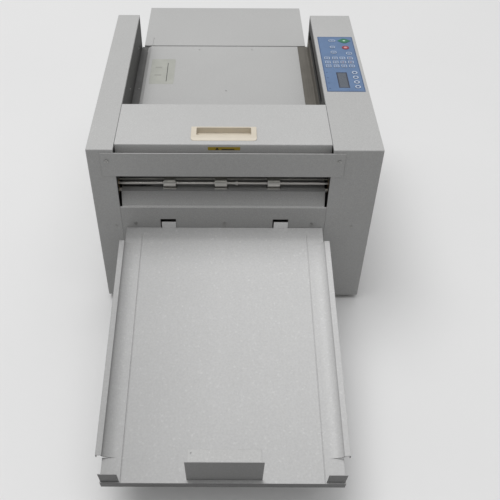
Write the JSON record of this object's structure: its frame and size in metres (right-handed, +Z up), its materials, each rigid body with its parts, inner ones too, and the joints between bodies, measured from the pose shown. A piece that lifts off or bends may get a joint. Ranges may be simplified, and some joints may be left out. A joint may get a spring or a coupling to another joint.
{
  "type": "paper creasing machine",
  "caption": "Electric sheet-fed machine that creases and perforates card: towers with key panel, hinged lid, feed rollers, press beam and sloping delivery tray",
  "frame": {"origin": "centre of the footprint on the floor under the feet, tray and rear table included", "axes": "+X to the operator's right seen from the tray, +Y to the infeed (rear), +Z up; the tray runs to -Y"},
  "size_m": [0.6, 1.3904, 0.4426],
  "materials": {
    "grey_paint": "fine hammered powder coat, light grey",
    "grey_front": "fine hammered powder coat, light grey, front sheets",
    "frame_steel": "satin black side frames",
    "zinc_steel": "zinc-plated sheet and bar",
    "tool_steel": "ground tool steel",
    "shaft_steel": "ground steel shafts and rollers",
    "drive_roller": "steel shafts with dark ribbed drive rings",
    "bronze": "sintered bronze bushes",
    "foot_rubber": "matte black rubber",
    "handle_beige": "smooth beige moulding",
    "motor_black": "black enamelled motor bodies",
    "pulley_metal": "machined toothed pulley",
    "belt_rubber": "toothed belt",
    "board_green": "printed circuit board",
    "lcd_glass": "unlit grey-green display in a dark bezel",
    "film_blue": "satin blue key film",
    "black_plastic": "moulded black plastic",
    "screw_zinc": "zinc-plated screw heads",
    "key_green": "printed green key",
    "key_red": "printed red key",
    "key_pale": "printed pale key"
  },
  "bodies": {
    "chassis": {"base_pan": "zinc_steel", "side_frames": "frame_steel", "steel_rods": "zinc_steel", "rubber_feet": "foot_rubber", "left_cover": "grey_paint", "right_cover": "grey_paint", "rear_panel": "grey_paint", "front_beam": "grey_front", "front_panel": "grey_front", "infeed_table": "grey_paint", "side_rails": "zinc_steel", "rear_table": "grey_paint", "table_arms": "grey_front", "lower_die": "zinc_steel", "bearings": "bronze", "roller_saddles": "zinc_steel", "main_motor": "motor_black", "feed_motor": "motor_black", "feed_belt": "belt_rubber", "power_supply": "zinc_steel", "control_board": "board_green", "lcd_module": "lcd_glass", "membrane_panel": "film_blue", "power_inlet": "black_plastic", "screws": "screw_zinc"},
    "lid": {"top_lid": "grey_paint", "lid_handle": "handle_beige"},
    "tray": {"delivery_tray": "grey_paint"},
    "stop": {"paper_stop": "grey_front"},
    "press": {"press_beam": "zinc_steel", "tool_blade": "tool_steel"},
    "eccentric": {"eccentric_shaft": "shaft_steel"},
    "infeed_drive": {"infeed_roller": "drive_roller"},
    "infeed_nip": {"infeed_pinch": "shaft_steel"},
    "exit_drive": {"exit_roller": "drive_roller"},
    "exit_nip": {"pinch_rollers": "shaft_steel"},
    "motor_pulley": {"feed_pulley": "pulley_metal"},
    "rocker": {"power_rocker": "black_plastic"},
    "key_start": {"key_start": "key_green"},
    "key_stop": {"key_stop": "key_red"},
    "key_enter": {"key_enter": "key_pale"},
    "key_clear": {"key_clear": "key_pale"},
    "key_mode": {"key_mode": "key_pale"},
    "key_test": {"key_test": "key_pale"},
    "key_up": {"key_up": "key_pale"},
    "key_right": {"key_right": "key_pale"},
    "key_down": {"key_down": "key_pale"},
    "key_left": {"key_left": "key_pale"},
    "key_pad_1": {"key_pad_1": "key_pale"},
    "key_pad_2": {"key_pad_2": "key_pale"},
    "key_pad_3": {"key_pad_3": "key_pale"},
    "key_pad_4": {"key_pad_4": "key_pale"},
    "key_pad_5": {"key_pad_5": "key_pale"},
    "key_pad_6": {"key_pad_6": "key_pale"},
    "key_pad_7": {"key_pad_7": "key_pale"},
    "key_pad_8": {"key_pad_8": "key_pale"},
    "key_pad_9": {"key_pad_9": "key_pale"},
    "key_pad_10": {"key_pad_10": "key_pale"},
    "key_pad_11": {"key_pad_11": "key_pale"},
    "key_pad_12": {"key_pad_12": "key_pale"}
  },
  "joints": [
    {"name": "lid_hinge", "type": "hinge", "parent": "chassis", "child": "lid", "pos_m": [-0.02335, 0.03123, 0.428], "axis": [-1, 0, 0], "range_deg": [0, 95]},
    {"name": "tray_tilt", "type": "hinge", "parent": "chassis", "child": "tray", "pos_m": [-0.0207, -0.13277, 0.231], "axis": [-1, 0, 0], "range_deg": [0, 60]},
    {"name": "stop_slide", "type": "slide", "parent": "tray", "child": "stop", "axis": [0, 0.9833, 0.1822], "range_m": [0, 0.35]},
    {"name": "press_slide", "type": "slide", "parent": "chassis", "child": "press", "axis": [0, 0, -1], "range_m": [0, 0.008]},
    {"name": "eccentric_spin", "type": "hinge", "parent": "chassis", "child": "eccentric", "pos_m": [-0.02335, -0.04977, 0.392], "axis": [1, 0, 0], "continuous": true},
    {"name": "infeed_spin", "type": "hinge", "parent": "chassis", "child": "infeed_drive", "pos_m": [-0.02335, 0.00733, 0.32938], "axis": [1, 0, 0], "continuous": true},
    {"name": "infeed_nip_spin", "type": "hinge", "parent": "chassis", "child": "infeed_nip", "pos_m": [-0.02335, -0.00219, 0.34877], "axis": [1, 0, 0], "continuous": true},
    {"name": "exit_spin", "type": "hinge", "parent": "chassis", "child": "exit_drive", "pos_m": [-0.02335, -0.10227, 0.3138], "axis": [1, 0, 0], "continuous": true},
    {"name": "exit_nip_spin", "type": "hinge", "parent": "chassis", "child": "exit_nip", "pos_m": [-0.02335, -0.10227, 0.3322], "axis": [1, 0, 0], "continuous": true},
    {"name": "motor_pulley_spin", "type": "hinge", "parent": "chassis", "child": "motor_pulley", "pos_m": [-0.259, -0.03977, 0.262], "axis": [1, 0, 0], "continuous": true},
    {"name": "rocker_tilt", "type": "hinge", "parent": "chassis", "child": "rocker", "pos_m": [0.12, 0.45823, 0.073], "axis": [-1, 0, 0], "range_deg": [0, 12]},
    {"name": "key_start_press", "type": "slide", "parent": "chassis", "child": "key_start", "axis": [0, 0, -1], "range_m": [0, 0.0005], "stiffness_N_per_m": 1000},
    {"name": "key_stop_press", "type": "slide", "parent": "chassis", "child": "key_stop", "axis": [0, 0, -1], "range_m": [0, 0.0005], "stiffness_N_per_m": 1000},
    {"name": "key_enter_press", "type": "slide", "parent": "chassis", "child": "key_enter", "axis": [0, 0, -1], "range_m": [0, 0.0005], "stiffness_N_per_m": 1000},
    {"name": "key_clear_press", "type": "slide", "parent": "chassis", "child": "key_clear", "axis": [0, 0, -1], "range_m": [0, 0.0005], "stiffness_N_per_m": 1000},
    {"name": "key_mode_press", "type": "slide", "parent": "chassis", "child": "key_mode", "axis": [0, 0, -1], "range_m": [0, 0.0005], "stiffness_N_per_m": 1000},
    {"name": "key_test_press", "type": "slide", "parent": "chassis", "child": "key_test", "axis": [0, 0, -1], "range_m": [0, 0.0005], "stiffness_N_per_m": 1000},
    {"name": "key_up_press", "type": "slide", "parent": "chassis", "child": "key_up", "axis": [0, 0, -1], "range_m": [0, 0.0005], "stiffness_N_per_m": 1000},
    {"name": "key_right_press", "type": "slide", "parent": "chassis", "child": "key_right", "axis": [0, 0, -1], "range_m": [0, 0.0005], "stiffness_N_per_m": 1000},
    {"name": "key_down_press", "type": "slide", "parent": "chassis", "child": "key_down", "axis": [0, 0, -1], "range_m": [0, 0.0005], "stiffness_N_per_m": 1000},
    {"name": "key_left_press", "type": "slide", "parent": "chassis", "child": "key_left", "axis": [0, 0, -1], "range_m": [0, 0.0005], "stiffness_N_per_m": 1000},
    {"name": "key_pad_1_press", "type": "slide", "parent": "chassis", "child": "key_pad_1", "axis": [0, 0, -1], "range_m": [0, 0.0005], "stiffness_N_per_m": 1000},
    {"name": "key_pad_2_press", "type": "slide", "parent": "chassis", "child": "key_pad_2", "axis": [0, 0, -1], "range_m": [0, 0.0005], "stiffness_N_per_m": 1000},
    {"name": "key_pad_3_press", "type": "slide", "parent": "chassis", "child": "key_pad_3", "axis": [0, 0, -1], "range_m": [0, 0.0005], "stiffness_N_per_m": 1000},
    {"name": "key_pad_4_press", "type": "slide", "parent": "chassis", "child": "key_pad_4", "axis": [0, 0, -1], "range_m": [0, 0.0005], "stiffness_N_per_m": 1000},
    {"name": "key_pad_5_press", "type": "slide", "parent": "chassis", "child": "key_pad_5", "axis": [0, 0, -1], "range_m": [0, 0.0005], "stiffness_N_per_m": 1000},
    {"name": "key_pad_6_press", "type": "slide", "parent": "chassis", "child": "key_pad_6", "axis": [0, 0, -1], "range_m": [0, 0.0005], "stiffness_N_per_m": 1000},
    {"name": "key_pad_7_press", "type": "slide", "parent": "chassis", "child": "key_pad_7", "axis": [0, 0, -1], "range_m": [0, 0.0005], "stiffness_N_per_m": 1000},
    {"name": "key_pad_8_press", "type": "slide", "parent": "chassis", "child": "key_pad_8", "axis": [0, 0, -1], "range_m": [0, 0.0005], "stiffness_N_per_m": 1000},
    {"name": "key_pad_9_press", "type": "slide", "parent": "chassis", "child": "key_pad_9", "axis": [0, 0, -1], "range_m": [0, 0.0005], "stiffness_N_per_m": 1000},
    {"name": "key_pad_10_press", "type": "slide", "parent": "chassis", "child": "key_pad_10", "axis": [0, 0, -1], "range_m": [0, 0.0005], "stiffness_N_per_m": 1000},
    {"name": "key_pad_11_press", "type": "slide", "parent": "chassis", "child": "key_pad_11", "axis": [0, 0, -1], "range_m": [0, 0.0005], "stiffness_N_per_m": 1000},
    {"name": "key_pad_12_press", "type": "slide", "parent": "chassis", "child": "key_pad_12", "axis": [0, 0, -1], "range_m": [0, 0.0005], "stiffness_N_per_m": 1000}
  ],
  "couplings": [
    {"joint": "infeed_nip_spin", "follows": "infeed_spin", "ratio": -0.75},
    {"joint": "exit_spin", "follows": "infeed_spin", "ratio": 1},
    {"joint": "exit_nip_spin", "follows": "infeed_spin", "ratio": -1},
    {"joint": "motor_pulley_spin", "follows": "infeed_spin", "ratio": 1}
  ]
}
